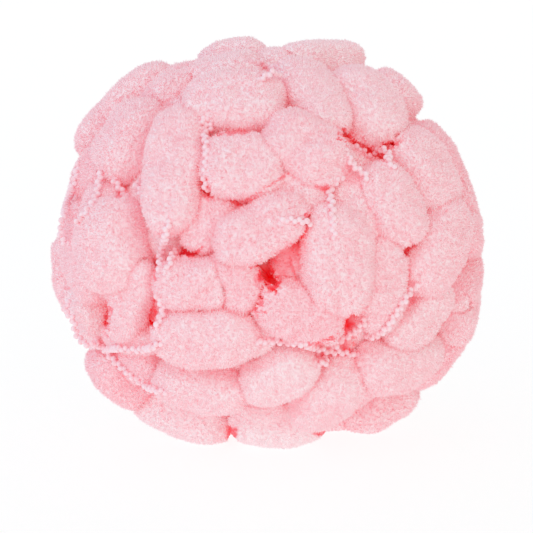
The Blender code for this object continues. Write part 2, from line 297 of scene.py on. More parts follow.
PIECES = 6

# The wound inside is a lumpy ball, painted deep red as painted shade, with a hollow where the deep gap goes
# in.
CORE_SEED = 3
CORE_GRID = 22
CORE_LUMPS = (9 * MM, 1.2 * MM)
HOLLOW_RADIUS = 12 * MM
HOLLOW_DEPTH = 18 * MM
HOLLOW_REACH = -30 * MM

# The thin yarn is two strands twisted together, and looks like beads on its two sides in turn.
BEAD_RADIUS = 1.2 * MM
BEAD_CHANGE = 0.08
BEAD_GAP = 1.4 * MM
BEAD_REACH = 1.9 * MM
BEAD_SIDE = 0.5 * MM
BEAD_TILT = 0.5
RING_GAP = 0.3 * MM
CURVE_STEPS = 8
YARN_LIFT = 1.3 * MM
YARN_END_DEPTH = 6 * MM
BRIDGE = 2.6 * MM
SLACK = 1.8 * MM
SLACK_ROUNDS = 2
BEAD_ROUNDS_IN_FRONT = 2
BEAD_ROUNDS_BEHIND = 1

# Each end goes on past its last spot and down, in two steps: so many lifts onward, and this share of the
# end's depth. Its direction is taken over some steps, and one spot in so many is kept before it.
END_STEPS = ((2, 0.35), (3, 1))
END_SPAN = 5
KEPT_EVERY = 4

# These lie lower in the pile than the rest.
LOW_YARNS = ("upper_left", "upper_left_loop", "centre_drop", "pit_right", "top_left")
LOW_LIFT = -0.1 * MM

# Where the thin yarn shows in front, in mm across and up from the ball's centre, point by point along it.
FRONT_YARNS = [
    ("left_edge_outer", [
        (-75, 31), (-76.5, 26), (-78, 21), (-79.6, 16), (-81, 11.5), (-82, 6.5), (-82.6, 2),
    ]),
    ("left_rise", [(-67, 26), (-67.5, 21), (-69, 16.5), (-72, 12), (-75.5, 8.5)]),
    ("left_notch_outer", [(-61, 24), (-58.5, 20.5), (-56, 17.5)]),
    ("left_notch_inner", [(-52, 22), (-50.5, 19), (-49.5, 16.5)]),
    ("left_middle", [(-39.5, 6.5), (-41, 0.5), (-42.5, -5.5), (-43, -11)]),
    ("left_middle_bead", [(-37.5, -5), (-38.5, -7.5), (-39.5, -10)]),
    ("upper_left", [(-25, 48.5), (-25, 42.5), (-24, 36.5), (-24.5, 30.5), (-25, 25)]),
    ("upper_left_loop", [(-27, 47), (-24, 49.5), (-22, 46.5), (-24, 44)]),
    ("top_left", [(-7, 71.5), (-2, 71.5), (2, 69), (6.5, 71.5)]),
    ("top_below", [(-2, 65), (2, 67.5)]),
    ("cluster_top", [(33.5, 38), (38, 36.5), (40, 34), (43, 33)]),
    ("cluster_left", [(32.5, 34.5), (33.5, 31.5), (36, 29), (38.5, 27), (40, 25.5)]),
    ("cluster_right", [(47, 36.5), (49, 34.5), (48, 32.5), (50, 30.5)]),
    ("centre_drop", [(28.5, 24.5), (26, 22), (25, 18.5), (26, 14.5), (26.5, 6.5), (27, 1)]),
    ("pit_right", [(6, 8), (9, 8.5), (13, 8), (16, 7.5)]),
    ("right_slant", [
        (60.5, -18), (58, -19.5), (56, -22.5), (54, -25.5), (51.5, -29), (50, -31.5), (48, -35), (45, -37),
        (42, -38.5),
    ]),
    ("right_slant_inner", [(39, -32.5), (36.5, -35), (34, -37), (31.5, -38.5), (29, -40), (27, -42.5)]),
    ("low_level", [
        (-3.5, -40.5), (1, -40), (7, -40.5), (13, -41), (18, -42.5), (22, -43.5), (26, -44.5), (30, -44.5),
        (34.5, -46),
    ]),
    ("low_level_end", [(21, -46.5), (24.5, -48), (20.5, -49.5)]),
    ("left_pit", [(-43.5, -23), (-41.5, -27), (-43, -31.5), (-44, -34)]),
    ("lower_left_slant", [
        (-80.5, -28.5), (-77.5, -31.5), (-76.5, -36.5), (-73, -41), (-68, -41.5), (-65, -43.5), (-62, -47),
        (-60, -49), (-57, -51.5), (-53, -55), (-49.5, -57), (-47, -59), (-41.5, -60.5),
    ]),
    ("lower_left_level", [
        (-68, -41.5), (-63.5, -43), (-59, -43), (-55, -43.5), (-51, -43.5), (-47.5, -43), (-43.5, -41.5),
    ]),
]

# Elsewhere the thin yarn joins the ends of pompoms that lie this far apart, with this much room between two
# yarns. It is laid down from above all pompoms.
JOINED_SEED = 11
JOINED_APART = (9 * MM, 24 * MM)
JOINED_ROOM = 1.3
JOINED_YARNS = 34
LEAST_STEPS = 6
ABOVE_ALL = 30 * MM
YARN_BEHIND_FROM = 0.3

# Colours, in linear light.
PALE_PINK = (0.995, 0.785, 0.82, 1)
PALEST = (0.995, 0.91, 0.925, 1)
# The rose, red pink and deep red are painted shade: the pile in gaps, creases, at its roots and where little
# sky
# is seen, and the core. The palest pink is what the tint and painted light mix towards.
SHADE_ROSE = (0.997, 0.71, 0.76, 1)
SHADE_RED_PINK = (1, 0.42, 0.48, 1)
SHADE_DEEP_RED = (1, 0.14, 0.18, 1)
CORE_SHADE_RED = (1, 0.12, 0.16, 1)
YARN_PALE = (1, 0.76, 0.81, 1)
YARN_ROSE = (1, 0.62, 0.66, 1)
WHITE = (1, 1, 1, 1)
FLOOR_GREY = (0.1, 0.1, 0.1, 1)

# Colours along a value from 0 to 1, and the size of the noise in it.
# Below the pale pink stop, this ramp is painted shade.
PILE_COLOURS = [(0.08, SHADE_DEEP_RED), (0.25, SHADE_RED_PINK), (0.45, SHADE_ROSE), (0.7, PALE_PINK)]
YARN_COLOURS = [(0.3, YARN_ROSE), (0.55, YARN_PALE)]
CORE_SHADE_COLOURS = [(0.3, SHADE_DEEP_RED), (0.8, CORE_SHADE_RED)]
PILE_NOISE = 3.5 * MM
YARN_NOISE = 2.5 * MM
CORE_NOISE = 4 * MM

# How much the height in the pile and the noise add to how pale it is: painted shade at the roots, and chance
# tone.
UP_PILE_WEIGHT = 0.25
NOISE_WEIGHT = 0.08

SOFT_ROUGHNESS = 0.95
FLOOR_ROUGHNESS = 0.9
FLOOR_GLOW = 0.88
FLOOR_SIZE = 8
LIGHT_BOUNCES = 128

# The sockets of a Mix node that mixes colours.
MIX_FIRST = 6
MIX_SECOND = 7
MIX_RESULT = 2

# The light that comes from all round, for red, green and blue: how strong it is from behind, and how it
# changes along X, Y and Z. Behind the sides it changes no more. It is a little bluer from the left.
NO_FURTHER_BACK = (1, 0, 1)
SKY_LIGHT = [
    (0.55, (-0.04, -0.415, 0.26)),
    (0.64, (-0.16, -0.455, 0.14)),
    (0.65, (-0.26, -0.425, 0.19)),
]


def as_shares(vector, shell):
    """A vector in shares of a shell's half sizes."""
    return Vector([vector[i] / shell[i] for i in range(3)])


def shell_normal(spot):
    """The way out of the ball at a spot on the shell of middles."""
    from_centre = spot - BALL_CENTRE
    return Vector([from_centre[i] / MIDDLES[i] ** 2 for i in range(3)]).normalized()


def onto_shell(spot):
    """The spot pulled straight in or out to the shell of middles."""
    from_centre = spot - BALL_CENTRE
    return BALL_CENTRE + from_centre / as_shares(from_centre, MIDDLES).length


def seen_spot(across, up, nearer, shell=MIDDLES):
    """Where the line of sight meets the shell, or passes closest to it, moved nearer to the viewpoint."""
    sight = (BALL_CENTRE + RIGHT * across + UP * up - VIEWPOINT).normalized()
    start = as_shares(VIEWPOINT - BALL_CENTRE, shell)
    step = as_shares(sight, shell)
    middle = -start.dot(step) / step.dot(step)
    inside = middle**2 - (start.dot(start) - 1) / step.dot(step)
    reach = middle - math.sqrt(max(inside, 0))
    return VIEWPOINT + sight * (reach - nearer)


def seen_way(turn):
    """A direction that is turned from level by so many degrees, as seen from the viewpoint."""
    return RIGHT * math.cos(math.radians(turn)) + UP * math.sin(math.radians(turn))


def turned_frame(spot, along, out):
    """A turned frame at a spot: Z out, and X along a direction, as far as that lies across it."""
    along = (along - out * along.dot(out)).normalized()
    axes = Matrix((along, out.cross(along), out)).transposed()
    return Matrix.Translation(spot) @ axes.to_4x4()


def front_pompom(across, up, turn, length, width, nearer):
    """Place and size of a pompom that shows in front, its length turned as it is seen from the viewpoint."""
    spot = seen_spot(across * MM, up * MM, nearer * MM)
    seen = seen_way(turn)
    normal = shell_normal(spot)
    slope = -seen.dot(normal) / min(AHEAD.dot(normal), RIM_FACING)
    slope = max(-STEEPEST, min(STEEPEST, slope))
    length *= min(math.hypot(1, slope), LONGEST_STRETCH)
    return turned_frame(spot, seen + AHEAD * slope, normal), (length * MM, width * MM, width * MM)


def moved_front(front):
    """The front pompoms with the small moves made."""
    made = []
    for (name, row, move, _), (place, size) in zip(FRONT_POMPOMS, front):
        if move:
            place, size = front_pompom(*[value + change for value, change in zip(row, move)])
            middle = Matrix.Translation(place.translation)
            lean = Matrix.Rotation(math.radians(LEANING.get(name, 0)), 4, -AHEAD)
            place = middle @ lean @ middle.inverted() @ place
        made.append((place, size))
    return made


def spiral_spots(count):
    """Spots in even steps over the whole shell, on one spiral from top to bottom."""
    golden_turn = math.pi * (3 - math.sqrt(5))
    spots = []
    for i in range(count):
        height = 1 - 2 * (i + 0.5) / count
        ring = math.sqrt(1 - height**2)
        way = Vector((ring * math.cos(golden_turn * i), ring * math.sin(golden_turn * i), height))
        spots.append(BALL_CENTRE + Vector([way[k] * MIDDLES[k] for k in range(3)]))
    return spots


def turned_away(spot):
    """How far a spot on the shell faces away from the viewpoint."""
    return shell_normal(spot).dot(AHEAD)


def roomiest_spots(taken, room_needed, facing):
    """Picks spots one by one beyond a facing, each the furthest from all that are taken."""
    free = [spot for spot in spiral_spots(SPIRAL_SPOTS) if turned_away(spot) > facing]
    room = [min((spot - other).length for other in taken) for spot in free]
    picked = []
    while max(room) > room_needed:
        best = room.index(max(room))
        picked.append(free[best])
        room = [min(gap, (spot - free[best]).length) for gap, spot in zip(room, free)]
    return picked


def along_roll(spot, along, length):
    """Points along a pompom that its neighbours keep away from."""
    return [spot + along * share * length for share in CROWDED_AT]


def along_placed(placed):
    """Points along placed pompoms that others keep away from."""
    points = []
    for place, size in placed:
        points += along_roll(place.translation, place.to_3x3().col[0], size[0])
    return points


def push_on(point, others):
    """How crowding by the others moves one point of a pompom."""
    push = Vector()
    for other in others:
        apart = point - other
        if 0 < apart.length < EASE_REACH:
            push += apart.normalized() * (1 - apart.length / EASE_REACH) ** 2
    return push


def chance_way(normal, dice):
    """A direction across the normal, taken by chance."""
    return Matrix.Rotation(dice.uniform(0, math.pi), 3, normal) @ normal.orthogonal().normalized()


def loose_roll(spot, dice):
    """A pompom's spot, its direction taken by chance, and its length."""
    return spot, chance_way(shell_normal(spot), dice), dice.uniform(*LENGTHS)


def ease_apart(rolls, taken):
    """Pushes and turns pompoms until they lie evenly beside each other and the ones in front."""
    for _ in range(EASE_STEPS):
        points = [along_roll(*roll) for roll in rolls]
        eased = []
        for i, (spot, along, length) in enumerate(rolls):
            others = taken + [point for k, row in enumerate(points) if k != i for point in row]
            tail, middle, tip = (push_on(point, others) for point in points[i])
            spot = onto_shell(spot + (tail + middle + tip) * EASE_MOVE)
            normal = shell_normal(spot)
            along = along + (tip - tail) * EASE_TURN
            along = (along - normal * along.dot(normal)).normalized()
            eased.append((spot, along, length))
        rolls = eased
    return rolls


def lifted_pompom(roll, lift, dice):
    """Place and size of a roll on the shell, moved out of the ball by lift."""
    spot, along, length = roll
    width = dice.uniform(*WIDTHS)
    spot = spot + shell_normal(spot) * lift
    return turned_frame(spot, along, shell_normal(spot)), (length, width, width)


def fill_pompoms(front):
    """Pompoms over the sides, back, top and underside, and deeper ones in the gaps that stay between them."""
    dice = random.Random(FILL_SEED)
    taken = along_placed(front)
    rolls = [loose_roll(spot, dice) for spot in roomiest_spots(taken, ROOM_NEEDED, FRONT_ENDS_AT)]
    made = []
    for roll in ease_apart(rolls, taken):
        taken += along_roll(*roll)
        lift = dice.uniform(-LIFT, LIFT)
        if turned_away(roll[0]) < RIM_ENDS_AT:
            lift -= SUNK_AT_RIM
        made.append(lifted_pompom(roll, lift, dice))
    for spot in roomiest_spots(taken, GAP_ROOM, FRONT_ENDS_AT):
        made.append(lifted_pompom(loose_roll(spot, dice), -GAP_DEPTH, dice))
    return made


def settle(place, size):
    """A pompom close to the floor drops or rises until it is pressed a little flat against it."""
    axes = place.to_3x3()
    drop = math.sqrt(sum((axes[2][i] * size[i] / 2) ** 2 for i in range(3)))
    lowest = place.translation.z - drop
    if lowest > SETTLE_REACH:
        return place
    return Matrix.Translation(Vector((0, 0, -lowest - PRESSED_FLAT))) @ place


def fullness(own):
    """How far out points are in a shape that is fuller than a ball: 1 on its surface."""
    own = np.abs(own)
    round_it = (own[..., 1] ** ROUNDNESS + own[..., 2] ** ROUNDNESS) ** (1 / ROUNDNESS)
    return (own[..., 0] ** FULLNESS + round_it**FULLNESS) ** (1 / FULLNESS)


class Roll:
    """One pompom or gap as arrays: its middle, its turned axes and its half sizes."""

    def __init__(self, place, size, inset=0.0):
        self.middle = np.array(place.translation)
        self.axes = np.array(place.to_3x3())
        self.half = np.array(size) / 2 - inset
        if inset:
            self.half *= SWELLING

    def own(self, points):
        """Points seen from the middle along its own axes, in half sizes."""
        return (points - self.middle) @ self.axes / self.half

    def level(self, points):
        """0 at the middle, 1 on the surface and more outside."""
        return fullness(self.own(points))

    def covers(self, points):
        """Whether points are well inside, taken as a plain ellipsoid."""
        return (self.own(points) ** 2).sum(axis=-1) < 1

    def tips(self):
        """The two ends."""
        reach = self.axes[:, 0] * self.half[0]
        return self.middle - reach, self.middle + reach


def unit(vectors):
    """Each of the vectors made one long."""
    return vectors / np.linalg.norm(vectors, axis=1)[:, None]


def taken_out(work):
    """The points of a mesh that was being made, and each face's corners."""
    points = np.array([vert.co[:] for vert in work.verts])
    faces = np.array([[vert.index for vert in face.verts] for face in work.faces])
    work.free()
    return points, faces


def grid_ball(cuts):
    """A unit ball of even four-sided faces: points out from the middle, and four corners a face."""
    work = bmesh.new()
    bmesh.ops.create_cube(work, size=2)
    bmesh.ops.subdivide_edges(work, edges=work.edges[:], cuts=cuts - 1, use_grid_fill=True)
    points, faces = taken_out(work)
    return unit(np.tan(points * math.pi / 4)), faces


def bead(rounds):
    """A small round bead: points out from its middle, and triangles."""
    work = bmesh.new()
    bmesh.ops.create_icosphere(work, subdivisions=rounds, radius=1)
    return taken_out(work)


def triangles_of(faces):
    """Each four-sided face as two triangles."""
    return np.concatenate([faces[:, [0, 1, 2]], faces[:, [0, 2, 3]]])


def joined(parts):
    """Several meshes, each as points and faces, as one."""
    points, corners = [], []
    start = 0
    for more, faces in parts:
        points.append(more)
        corners.append(faces + start)
        start += len(more)
    return np.concatenate(points), np.concatenate(corners)


def bumps(points, apart, dice):
    """Smooth chance bumps at points, mostly from -1 to 1, about so far apart."""
    total = np.zeros(len(points))
    for _ in range(WAVES):
        way = dice.normal(size=3)
        way *= 2 * math.pi * dice.uniform(*WAVE_SPREAD) / apart / np.linalg.norm(way)
        total += np.sin(points @ way + dice.uniform(0, 2 * math.pi))
    return total / math.sqrt(WAVES / 2) * WAVE_HEIGHT


def face_normals(points, faces):
    """The way out of each four-sided face, as long as twice the face's area."""
    return np.cross(points[faces[:, 2]] - points[faces[:, 0]], points[faces[:, 3]] - points[faces[:, 1]])


def point_normals(points, faces):
    """Outward directions at points, from the four-sided faces around them."""
    flat = face_normals(points, faces)
    total = np.zeros_like(points)
    for corner in range(4):
        np.add.at(total, faces[:, corner], flat)
    return unit(total)


def under_pompoms(placed):
    """Pompoms of the layer below, under the widest gaps between the ones that are placed."""
    dice = random.Random(UNDER_SEED)
    taken = [onto_shell(point) for point in along_placed(placed)]
    made = []
    for spot in roomiest_spots(taken, UNDER_ROOM, ALL_ROUND):
        normal = shell_normal(spot)
        along = chance_way(normal, dice)
        width = dice.uniform(*UNDER_WIDTHS)
        spot = spot - normal * UNDER_DEPTH
        size = (dice.uniform(*UNDER_LENGTHS), width, width)
        made.append((turned_frame(spot, along, shell_normal(spot)), size))
    return made


def neighbours_of(roll, rolls):
    """The pompoms that can touch this one."""
    close = []
    for other in rolls:
        apart = np.linalg.norm(other.middle - roll.middle)
        if other is not roll and apart < (other.half[0] + roll.half[0]) * NEIGHBOUR_REACH:
            close.append(other)
    return close


def gap_rolls(table):
    """The gaps or creases of a table as rolls that go in along the line of sight."""
    made = []
    for across, up, turn, length, width, depth, pale in table:
        spot = seen_spot(across * MM, up * MM, GAP_NEARER)
        toward = (VIEWPOINT - spot).normalized()
        depth /= max(toward.dot(shell_normal(spot)), STEEPEST_FACING)
        place = turned_frame(spot, seen_way(turn), toward)
        gap = Roll(place, (length * MM, width * MM, depth * MM * 2))
        # How pale the red painted shade leaves the pile in this gap.
        gap.pale = pale
        made.append(gap)
    return made


def gaps_near(roll, gaps):
    """The gaps that can touch a pompom."""
    return [gap for gap in gaps if np.linalg.norm(gap.middle - roll.middle) < GAP_NEAR]


def pit_floor():
    """Place and size of the pompom that closes the deep gap far down."""
    across, up, turn, *_ = GAPS[0]
    spot = seen_spot(across * MM, up * MM, -PIT_FLOOR_DEPTH)
    return turned_frame(spot, seen_way(turn), shell_normal(spot)), PIT_FLOOR


def gap_level(gap, points):
    """How far out of a gap each place is, with 1 at the gap's ragged edge."""
    level = gap.level(points) - RAGGED_MARGIN
    for apart, height in RAGGED:
        level = level + bumps(points, apart, np.random.default_rng(RAGGED_SEED)) * height
    return level


def clear_of_gaps(points, gaps):
    """How clear places are of all gaps, which sets their red painted shade: a gap's own paleness inside it,
    and up to 1 away from it.
    """
    clear = np.ones(len(points))
    for gap in gaps:
        away = np.clip((gap_level(gap, points) - 1) / CREASE_SOFT, 0, 1)
        clear = np.minimum(clear, gap.pale + (1 - gap.pale) * away)
    return clear


def painted_shade_paleness(seen, clear):
    """The painted shade: how pale places are painted, by the share of sky they see and how clear they are of
    gaps.
    """
    return np.minimum(LEAST_PALE + (1 - LEAST_PALE) * seen, clear)


def pressed_body(roll, close, gaps, ball, dice):
    """A pompom's body, pressed flat against its neighbours: its points, and how far out each could stay."""
    out = (ball / fullness(ball)[:, None] * roll.half) @ roll.axes.T
    far = np.linalg.norm(out, axis=1)
    lumpy = sum(bumps(roll.middle + out, apart, dice) * height for apart, height in LUMPS)
    out *= (1 + lumpy / far)[:, None]

    apart, height = SLIT_CHANGE
    slit = SLIT + bumps(roll.middle + out, apart, np.random.default_rng(SLIT_SEED)) * height

    def room(share):
        """How much room is left at a share of the way out: less than 0 is past the middle of a contact."""
        spots = roll.middle + out * share[:, None]
        left = [other.level(spots) - share - slit for other in close]
        left += [gap_level(gap, spots) - 1 for gap in gaps]
        return np.min(left, axis=0)

    whole = np.ones(len(out))
    pressed = room(whole) < 0
    low = np.zeros(len(out))
    high = whole
    for _ in range(PRESS_STEPS):
        half_way = (low + high) / 2
        fits = room(half_way) >= 0
        low = np.where(fits, half_way, low)
        high = np.where(fits, high, half_way)
    share = np.where(pressed, low, whole)
    points = roll.middle + out * share[:, None]
    points[:, 2] = np.maximum(points[:, 2], FLOOR_GAP)
    return points, share


def openness(points, normals, close, me):
    """The share of directions in which a place sees the sky, past its own pompom and its neighbours."""
    dice = np.random.default_rng(SKY_SEED)
    out = unit((points - np.array(BALL_CENTRE)) / np.array(MIDDLES) ** 2)
    seen = np.zeros(len(points))
    for way in unit(dice.normal(size=(SKY_DIRECTIONS, 3))):
        heading = unit(out * DRAWN_OUT + way)
        free = (heading * normals).sum(axis=1) > LOWEST_SKY
        for step in SKY_STEPS:
            spots = points + heading * step
            free &= ~me.covers(spots)
            for other in close:
                free &= ~other.covers(spots)
        seen += free
    return seen / SKY_DIRECTIONS


def pile_on(points, normals, faces, seen, share, gaps, blades_per_mm2, dice):
    """Fine blades over the places that can be seen: points, triangles, and three numbers for each point."""
    area = np.linalg.norm(face_normals(points, faces), axis=1) / 2
    times = np.floor(area / MM**2 * blades_per_mm2 + dice.random(len(faces))).astype(int)
    own = np.repeat(faces, times, axis=0)
    u, v = dice.random((2, len(own)))
    weights = np.stack([(1 - u) * (1 - v), u * (1 - v), u * v, (1 - u) * v], axis=1)
    spot = (points[own] * weights[:, :, None]).sum(axis=1)
    normal = (normals[own] * weights[:, :, None]).sum(axis=1)
    openly = (seen[own] * weights).sum(axis=1)
    free = (share[own] * weights).sum(axis=1)
    keep = (openly > SEEN_LIMIT) & (free > PRESSED_LIMIT) & (spot[:, 2] > FLOOR_GAP * 2)
    spot, normal, openly = spot[keep], unit(normal[keep]), openly[keep]
    clear = clear_of_gaps(spot, gaps)
    count = len(spot)

    lean = dice.normal(size=(count, 3)) * dice.uniform(*BLADE_LEAN, size=(count, 1))
    for axis in range(3):
        lean[:, axis] += bumps(spot, CLUMP_SIZE, dice) * CLUMP_LEAN
    way = unit(normal + lean)
    length = dice.uniform(*BLADE_LENGTH, size=count)
    length *= 1 + bumps(spot, LENGTH_CHANGE[0], dice) * LENGTH_CHANGE[1]
    length *= PARTED_PILE + (1 - PARTED_PILE) * clear
    side = unit(np.cross(way, dice.normal(size=(count, 3))))
    side *= dice.uniform(*BLADE_WIDTH, size=count)[:, None] / 2
    foot = spot - normal * BLADE_SUNK
    made = np.stack([foot - side, foot + side, spot + way * length[:, None]], axis=1).reshape(-1, 3)
    made[:, 2] = np.maximum(made[:, 2], FLOOR_GAP)
    blades = np.arange(count * 3).reshape(-1, 3)
    # The pile is paler up to its tips: painted shade at its roots.
    up_pile = np.outer(clear, (0, 0, 1)).ravel()
    # Roots are mixed paler than tips: painted light against the shade among the blades.
    tint = np.outer(clear, (ROOT_TINT_AND_LIGHT, ROOT_TINT_AND_LIGHT, TIP_TINT_AND_LIGHT)).ravel()
    return made, blades, up_pile, np.repeat(painted_shade_paleness(openly, clear), 3), tint


def mesh_object(name, points, corners, shades, material, smooth=False):
    """One object of triangles. shades are named numbers for each point, which the material reads."""
    mesh = bpy.data.meshes.new(name)
    mesh.vertices.add(len(points))
    mesh.vertices.foreach_set("co", points.astype(np.float32).ravel())
    mesh.loops.add(corners.size)
    mesh.loops.foreach_set("vertex_index", corners.astype(np.int32).ravel())
    mesh.polygons.add(len(corners))
    mesh.polygons.foreach_set("loop_start", np.arange(0, corners.size, 3, dtype=np.int32))
    mesh.update(calc_edges=True)
    mesh.polygons.foreach_set("use_smooth", np.full(len(corners), smooth))
    for shade, values in shades.items():
        layer = mesh.attributes.new(shade, "FLOAT", "POINT")
        layer.data.foreach_set("value", values.astype(np.float32))
    mesh.materials.append(material)
    thing = bpy.data.objects.new(name, mesh)
    bpy.context.scene.collection.objects.link(thing)
    return thing


def dress(piece):
    """The piece stands for the solid ball, which it hides, and moves with it."""
    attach(piece, "root")
    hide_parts("yarn_ball")


class Nodes:
    """Short calls for building the nodes of a material or of the world."""

    def __init__(self, owner):
        owner.use_nodes = True
        self.owner = owner
        self.tree = owner.node_tree

    def add(self, kind, **settings):
        node = self.tree.nodes.new(kind)
        for key, value in settings.items():
            setattr(node, key, value)
        return node

    def link(self, source, target):
        self.tree.links.new(source, target)

    def noise(self, size):
        """Noise from 0 to 1 with features about size apart, fixed to the object."""
        place = self.add("ShaderNodeTexCoord")
        grain = self.add("ShaderNodeTexNoise")
        grain.inputs["Scale"].default_value = 1 / size
        self.link(place.outputs["Object"], grain.inputs["Vector"])
        return grain.outputs["Fac"]

    def attribute(self, name):
        return self.add("ShaderNodeAttribute", attribute_name=name).outputs["Fac"]

    def ramp(self, source, stops):
        """Colours along a value from 0 to 1."""
        node = self.add("ShaderNodeValToRGB")
        elements = node.color_ramp.elements
        while len(elements) < len(stops):
            elements.new(position=0.5)
        for element, (position, colour) in zip(elements, stops):
            element.position = position
            element.color = colour
        self.link(source, node.inputs["Fac"])
        return node.outputs["Color"]

    def towards(self, colour, other, share):
        """The colour mixed with another one by a share."""
        node = self.add("ShaderNodeMix", data_type="RGBA")
        self.link(share, node.inputs["Factor"])
        self.link(colour, node.inputs[MIX_FIRST])
        node.inputs[MIX_SECOND].default_value = other
        return node.outputs[MIX_RESULT]

    def sum(self, first, second, weight):
        """first + second * weight."""
        node = self.add("ShaderNodeMath", operation="MULTIPLY_ADD")
        self.link(second, node.inputs[0])
        node.inputs[1].default_value = weight
        self.link(first, node.inputs[2])
        return node.outputs[0]


def soft_material(nodes, colour):
    """The material with this colour and a matt finish."""
    shader = nodes.tree.nodes["Principled BSDF"]
    nodes.link(colour, shader.inputs["Base Color"])
    shader.inputs["Roughness"].default_value = SOFT_ROUGHNESS
    shader.inputs["Specular IOR Level"].default_value = 0.0
    return nodes.owner


def pile_material():
    """Pale pink at the tips of the pile; painted shade makes it redder at its roots, in gaps and where little
    sky is seen.
    """
    nodes = Nodes(bpy.data.materials.new("pink_pile"))
    level = nodes.sum(nodes.attribute("painted_shade_paleness"), nodes.attribute("up_pile"), UP_PILE_WEIGHT)
    level = nodes.sum(level, nodes.noise(PILE_NOISE), NOISE_WEIGHT)
    colour = nodes.ramp(level, PILE_COLOURS)
    # Mixing towards the palest pink by the tint is partly painted light, at the roots and on pompoms in
    # shade.
    return soft_material(nodes, nodes.towards(colour, PALEST, nodes.attribute("tint")))


def mottled_material(name, size, colours):
    """Soft mottling of about a size, in colours that run into each other: chance tone on the yarn, painted
    shade on the core.
    """
    nodes = Nodes(bpy.data.materials.new(name))
    return soft_material(nodes, nodes.ramp(nodes.noise(size), colours))


def make_pompoms(rolls, first_under, material):
    """Every pompom's body and pile, in a few pieces from left to right. Gives all the bodies as one mesh."""
    coarse, fine, under = grid_ball(BODY_GRID), grid_ball(FINE_GRID), grid_ball(UNDER_GRID)
    open_gaps, creases = gap_rolls(GAPS), gap_rolls(CREASES)
    bodies = []
    order = sorted(range(len(rolls)), key=lambda i: rolls[i].middle[0])
    per_piece = math.ceil(len(rolls) / PIECES)
    for piece in range(PIECES):
        parts, shades = [], []
        for i in order[piece * per_piece:(piece + 1) * per_piece]:
            roll = rolls[i]
            dice = np.random.default_rng(PILE_SEED + i)
            close = neighbours_of(roll, rolls)
            gaps = gaps_near(roll, open_gaps)
            parted = gaps + gaps_near(roll, creases)
            ball, faces = under if i >= first_under else fine if gaps else coarse
            behind = turned_away(Vector(roll.middle)) > BEHIND_FROM
            blades_per_mm2 = BLADES_BEHIND if behind else BLADES_IN_FRONT
            body, share = pressed_body(roll, close, gaps, ball, dice)
            normals = point_normals(body, faces)
            seen = openness(body, normals, close, roll)
            pile = pile_on(body, normals, faces, seen, share, parted, blades_per_mm2, dice)
            clear = clear_of_gaps(body, parted)
            bodies.append((body, triangles_of(faces)))
            parts += [bodies[-1], pile[:2]]
            # The bodies carry the painted shade of the sky they see and of the gaps, and the tint with
            # painted light as at roots.
            shades.append((np.zeros(len(body)), painted_shade_paleness(seen, clear), clear * roll.tint * ROOT_TINT_AND_LIGHT))
            shades.append((pile[2], pile[3], pile[4] * roll.tint))
        columns = [np.concatenate(column) for column in zip(*shades)]
        named = dict(zip(("up_pile", "painted_shade_paleness", "tint"), columns))
        dress(mesh_object(f"pompoms_{piece + 1}", *joined(parts), named, material))
    return joined(bodies)


def make_core(material):
    """The wound inside, painted deep red as painted shade, with a hollow where the deep gap in front goes in.
    """
    ball, faces = grid_ball(CORE_GRID)
    points = np.array(BALL_CENTRE) + ball * np.array(CORE)
    apart, height = CORE_LUMPS
    points += ball * (bumps(points, apart, np.random.default_rng(CORE_SEED)) * height)[:, None]
    pit = gap_rolls(GAPS)[0]
    own = (points - pit.middle) @ pit.axes
    across = np.hypot(own[:, 0], own[:, 1]) / HOLLOW_RADIUS
    hollow = np.sqrt(np.clip(1 - across**2, 0, None)) * (own[:, 2] > HOLLOW_REACH)
    points -= pit.axes[:, 2] * (hollow * HOLLOW_DEPTH)[:, None]
    dress(mesh_object("core", points, triangles_of(faces), {}, material))


def smooth_route(points, gap):
    """Even steps along a smooth curve through the points."""
    points = [points[0]] + points + [points[-1]]
    curve = []
    for before, start, end, after in zip(points, points[1:], points[2:], points[3:]):
        for k in range(CURVE_STEPS):
            t = k / CURVE_STEPS
            curve.append((start * 2 + (end - before) * t + (before * 2 - start * 5 + end * 4 - after) * t**2
                          + (start * 3 - before - end * 3 + after) * t**3) / 2)
    curve.append(points[-1])
    even = [curve[0]]
    left = gap
    for start, end in zip(curve, curve[1:]):
        span = (end - start).length
        done = 0
        while span - done >= left:
            done += left
            even.append(start.lerp(end, done / span))
            left = gap
        left -= span - done
    return even


def taut_heights(heights):
    """The heights of a yarn laid over a surface: it bridges narrow gaps, and bends only gently."""
    reach = math.ceil(BRIDGE / RING_GAP)
    raised = [max(heights[max(0, i - reach):i + reach + 1]) for i in range(len(heights))]
    reach = math.ceil(SLACK / RING_GAP)
    for _ in range(SLACK_ROUNDS):
        padded = [raised[0]] * reach + raised + [raised[-1]] * reach
        raised = [sum(padded[i:i + 2 * reach + 1]) / (2 * reach + 1) for i in range(len(raised))]
    return raised


def laid_route(name, route, surface):
    """A route seen from the viewpoint, laid on the pompoms, with its ends going down between them."""
    flat = smooth_route([Vector((across, up)) for across, up in route], RING_GAP / MM)
    outer = MIDDLES + Vector((1, 1, 1)) * WIDTHS[0] / 2
    spots = []
    for across, up in flat:
        limb = seen_spot(across * MM, up * MM, 0, outer)
        sight = (limb - VIEWPOINT).normalized()
        hit = surface.ray_cast(VIEWPOINT, sight)[0]
        if hit is None:
            hit = VIEWPOINT + sight * (surface.find_nearest(limb)[0] - VIEWPOINT).dot(sight)
        spots.append(hit)
    heights = taut_heights([-(spot - VIEWPOINT).length for spot in spots])
    lift = LOW_LIFT if name in LOW_YARNS else YARN_LIFT
    laid = []
    for spot, height in zip(spots, heights):
        sight = (spot - VIEWPOINT).normalized()
        facing = max(-sight.dot(shell_normal(spot)), STEEPEST_FACING)
        laid.append(VIEWPOINT + sight * (-height - lift / facing))
    return with_sunk_ends(laid)


